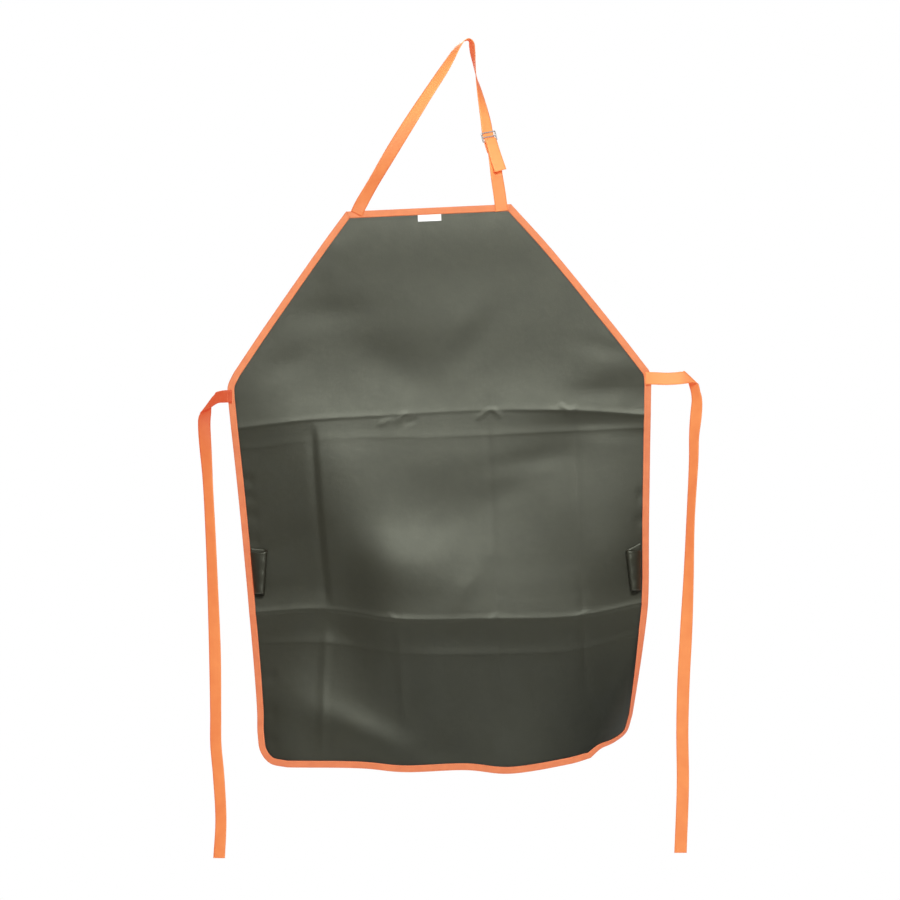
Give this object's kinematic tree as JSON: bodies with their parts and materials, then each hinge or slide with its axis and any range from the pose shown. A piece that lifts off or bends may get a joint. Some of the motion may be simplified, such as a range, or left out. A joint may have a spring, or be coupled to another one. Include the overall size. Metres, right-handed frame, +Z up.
{
  "type": "hunting apron",
  "caption": "Bib apron of dark olive coated cloth bound in orange tape, hanging by an adjustable webbing neck strap, with free waist ties and a cloth loop at each side edge.",
  "frame": {"origin": "the underside of the neck strap at the top of its loop, where a peg or the back of a neck carries it", "axes": "+Z up, against the way it hangs; -Y is the front, which the viewer sees; +X is the viewer's right"},
  "size_m": [0.9083, 0.089, 1.4744],
  "materials": {
    "olive_cloth": "coated cloth with a soft sheen",
    "orange_tape": "matt folded tape",
    "orange_webbing": "matt woven webbing",
    "slider_metal": "satin",
    "label_cloth": "smooth woven label"
  },
  "bodies": {
    "root": {"apron_panel": "olive_cloth", "side_loop_left": "olive_cloth", "side_loop_right": "olive_cloth", "top_binding": "orange_tape", "edge_binding": "orange_tape", "neck_strap": "orange_webbing", "anchor_strap": "orange_webbing", "waist_tie_left": "orange_webbing", "waist_tie_right": "orange_webbing", "slider_buckle": "slider_metal", "label": "label_cloth"}
  },
  "joints": []
}
